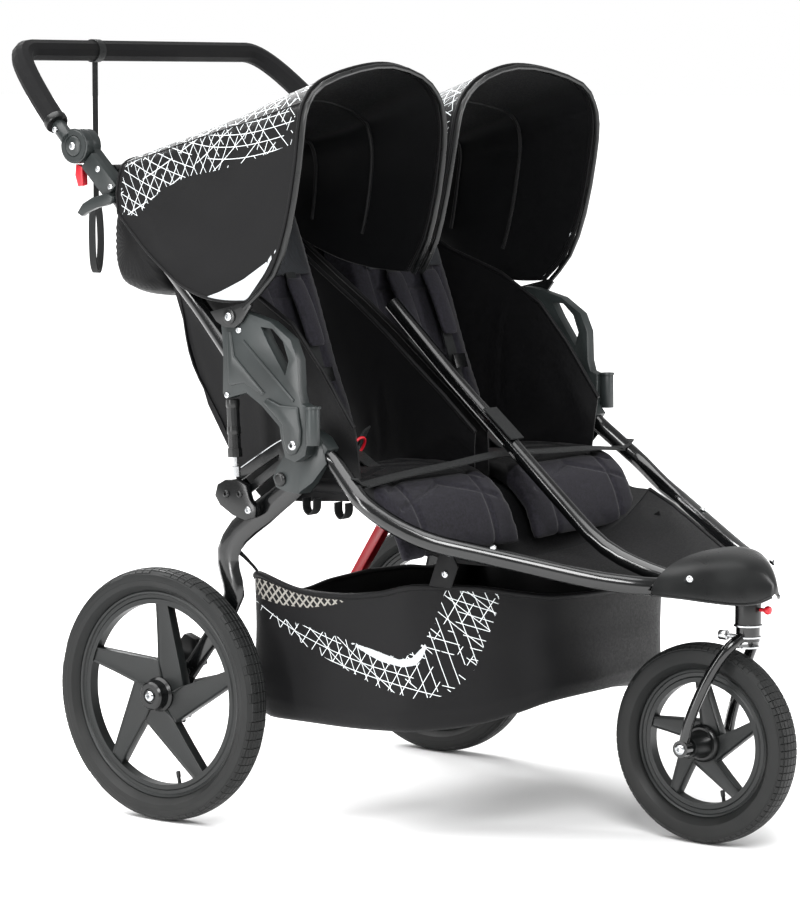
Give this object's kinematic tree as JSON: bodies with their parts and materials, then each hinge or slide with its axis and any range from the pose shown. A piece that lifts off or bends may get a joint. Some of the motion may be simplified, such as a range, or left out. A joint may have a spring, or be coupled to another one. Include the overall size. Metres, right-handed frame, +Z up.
{
  "type": "double jogging stroller",
  "caption": "Three-wheeled side-by-side double jogging stroller with two canopied seats, sprung rear wheels, a swivelling front wheel, an adjustable handlebar and an under-seat basket.",
  "frame": {"origin": "on the floor, under the middle of the stroller's bounding box", "axes": "+Z up, +Y towards the handlebar at the rear, +X towards the child's left side; the children face -Y"},
  "size_m": [0.7956, 1.2701, 1.1967],
  "materials": {
    "frame_black": "gloss black powder coat",
    "bracket_grey": "satin dark grey",
    "black_plastic": "satin black",
    "foam": "matt foam",
    "tyre": "matt",
    "wheel_plastic": "satin",
    "black_fabric": "woven",
    "heather_fabric": "woven heather",
    "webbing": "woven strap",
    "steel": "brushed",
    "red_plastic": "gloss red"
  },
  "bodies": {
    "main_frame": {"hinge_base_left": "bracket_grey", "hinge_base_right": "bracket_grey", "swoop_tube_left": "frame_black", "swoop_tube_right": "frame_black", "centre_tube": "frame_black", "head_tube": "frame_black", "nose_cover": "black_plastic", "seat_tub_left": "black_fabric", "seat_tub_right": "black_fabric", "footwell": "black_fabric", "basket": "black_fabric", "front_strap": "webbing", "harness_buckle_left": "black_plastic", "harness_buckle_right": "black_plastic"},
    "upper_frame": {"hinge_bracket_left": "bracket_grey", "hinge_bracket_right": "bracket_grey", "side_tube_left": "frame_black", "side_tube_right": "frame_black", "arm_mount_left": "bracket_grey", "arm_mount_right": "bracket_grey", "upper_cross_tube": "frame_black", "rear_pocket": "black_fabric", "shock_body_left": "bracket_grey", "shock_body_right": "bracket_grey"},
    "handlebar": {"handle_grip": "foam", "height_hub_left": "bracket_grey", "height_hub_right": "bracket_grey", "wrist_strap": "webbing"},
    "rear_links": {"rear_link_left": "black_plastic", "rear_link_right": "black_plastic"},
    "rear_arms": {"swing_arm_left": "frame_black", "swing_arm_right": "frame_black", "rear_axle": "frame_black", "arm_bracket_left": "black_plastic", "arm_bracket_right": "black_plastic", "brake_caliper_left": "black_plastic", "brake_caliper_right": "black_plastic"},
    "brake_lever": {"brake_lever": "red_plastic"},
    "fork": {"fork": "frame_black"},
    "front_wheel": {"tyre_front": "tyre", "wheel_front": "wheel_plastic"},
    "swivel_lock": {"swivel_lock": "red_plastic"},
    "tracking_knob": {"tracking_knob": "steel"},
    "seat_back_left": {"seat_back_left": "heather_fabric"},
    "canopy_left": {"canopy_bow_left": "bracket_grey", "canopy_shell_left": "black_fabric"},
    "release_lever_left": {"release_lever_left": "bracket_grey"},
    "height_button_left": {"height_button_left": "red_plastic"},
    "rear_wheel_left": {"tyre_rear_left": "tyre", "wheel_rear_left": "wheel_plastic"},
    "shock_rod_left": {"shock_rod_left": "steel"},
    "seat_back_right": {"seat_back_right": "heather_fabric"},
    "canopy_right": {"canopy_bow_right": "bracket_grey", "canopy_shell_right": "black_fabric"},
    "release_lever_right": {"release_lever_right": "bracket_grey"},
    "height_button_right": {"height_button_right": "red_plastic"},
    "rear_wheel_right": {"tyre_rear_right": "tyre", "wheel_rear_right": "wheel_plastic"},
    "shock_rod_right": {"shock_rod_right": "steel"}
  },
  "joints": [
    {"name": "frame_fold", "type": "hinge", "parent": "main_frame", "child": "upper_frame", "pos_m": [0, -0.012, 0.598], "axis": [1, 0, 0], "range_deg": [0, 100], "deforming": ["seat_tub_left", "seat_tub_right", "seat_back_left", "seat_back_right", "rear_pocket", "footwell", "basket", "front_strap"]},
    {"name": "rear_fold", "type": "hinge", "parent": "main_frame", "child": "rear_links", "pos_m": [0, 0.03, 0.543], "axis": [1, 0, 0], "range_deg": [-71, 0]},
    {"name": "rear_suspension", "type": "hinge", "parent": "rear_links", "child": "rear_arms", "pos_m": [0, 0.03, 0.543], "axis": [1, 0, 0], "range_deg": [-2, 6], "stiffness_Nm_per_rad": 2000, "springref_deg": -0.72},
    {"name": "handlebar_height", "type": "hinge", "parent": "upper_frame", "child": "handlebar", "pos_m": [0, 0.447, 1.031], "axis": [1, 0, 0], "range_deg": [-85, 15], "deforming": ["wrist_strap"]},
    {"name": "brake_lever_press", "type": "hinge", "parent": "rear_arms", "child": "brake_lever", "pos_m": [0, 0.272, 0.1955], "axis": [1, 0, 0], "range_deg": [-30, 0]},
    {"name": "fork_swivel", "type": "hinge", "parent": "main_frame", "child": "fork", "pos_m": [0, -0.556, 0.353], "axis": [0, 0, 1], "continuous": true},
    {"name": "front_wheel_spin", "type": "hinge", "parent": "fork", "child": "front_wheel", "pos_m": [0, -0.484, 0.151], "axis": [1, 0, 0], "continuous": true},
    {"name": "swivel_lock_pull", "type": "slide", "parent": "main_frame", "child": "swivel_lock", "axis": [0, -1, 0], "range_m": [0, 0.005], "stiffness_N_per_m": 300},
    {"name": "tracking_knob_turn", "type": "hinge", "parent": "fork", "child": "tracking_knob", "pos_m": [0, -0.528, 0.316], "axis": [0, 1, 0], "range_deg": [-60, 60]},
    {"name": "canopy_swing_left", "type": "hinge", "parent": "upper_frame", "child": "canopy_left", "pos_m": [-0.392, 0.105, 0.783], "axis": [1, 0, 0], "range_deg": [-50, 5], "deforming": ["canopy_shell_left"]},
    {"name": "seat_recline_left", "type": "hinge", "parent": "main_frame", "child": "seat_back_left", "pos_m": [-0.175, 0.137, 0.5], "axis": [1, 0, 0], "range_deg": [-20, 0]},
    {"name": "release_lever_left_lift", "type": "hinge", "parent": "upper_frame", "child": "release_lever_left", "pos_m": [-0.3595, 0.375, 0.951], "axis": [1, 0, 0], "range_deg": [0, 20], "stiffness_Nm_per_rad": 0.6, "springref_deg": -5.73},
    {"name": "height_button_left_press", "type": "slide", "parent": "upper_frame", "child": "height_button_left", "axis": [0, 0, -1], "range_m": [0, 0.004], "stiffness_N_per_m": 500},
    {"name": "rear_wheel_left_spin", "type": "hinge", "parent": "rear_arms", "child": "rear_wheel_left", "pos_m": [-0.358, 0.272, 0.1955], "axis": [1, 0, 0], "continuous": true},
    {"name": "shock_travel_left", "type": "slide", "parent": "upper_frame", "child": "shock_rod_left", "axis": [0, 0.0506, 0.9987], "range_m": [-0.003, 0.0086]},
    {"name": "canopy_swing_right", "type": "hinge", "parent": "upper_frame", "child": "canopy_right", "pos_m": [0.392, 0.105, 0.783], "axis": [1, 0, 0], "range_deg": [-50, 5], "deforming": ["canopy_shell_right"]},
    {"name": "seat_recline_right", "type": "hinge", "parent": "main_frame", "child": "seat_back_right", "pos_m": [0.175, 0.137, 0.5], "axis": [1, 0, 0], "range_deg": [-20, 0]},
    {"name": "release_lever_right_lift", "type": "hinge", "parent": "upper_frame", "child": "release_lever_right", "pos_m": [0.3595, 0.375, 0.951], "axis": [1, 0, 0], "range_deg": [0, 20], "stiffness_Nm_per_rad": 0.6, "springref_deg": -5.73},
    {"name": "height_button_right_press", "type": "slide", "parent": "upper_frame", "child": "height_button_right", "axis": [0, 0, -1], "range_m": [0, 0.004], "stiffness_N_per_m": 500},
    {"name": "rear_wheel_right_spin", "type": "hinge", "parent": "rear_arms", "child": "rear_wheel_right", "pos_m": [0.358, 0.272, 0.1955], "axis": [1, 0, 0], "continuous": true},
    {"name": "shock_travel_right", "type": "slide", "parent": "upper_frame", "child": "shock_rod_right", "axis": [0, 0.0506, 0.9987], "range_m": [-0.003, 0.0086]}
  ],
  "couplings": [
    {"joint": "rear_fold", "follows": "frame_fold", "ratio": -0.7},
    {"joint": "shock_travel_left", "follows": "rear_suspension", "m_per_rad": 0.08},
    {"joint": "shock_travel_right", "follows": "rear_suspension", "m_per_rad": 0.08}
  ]
}
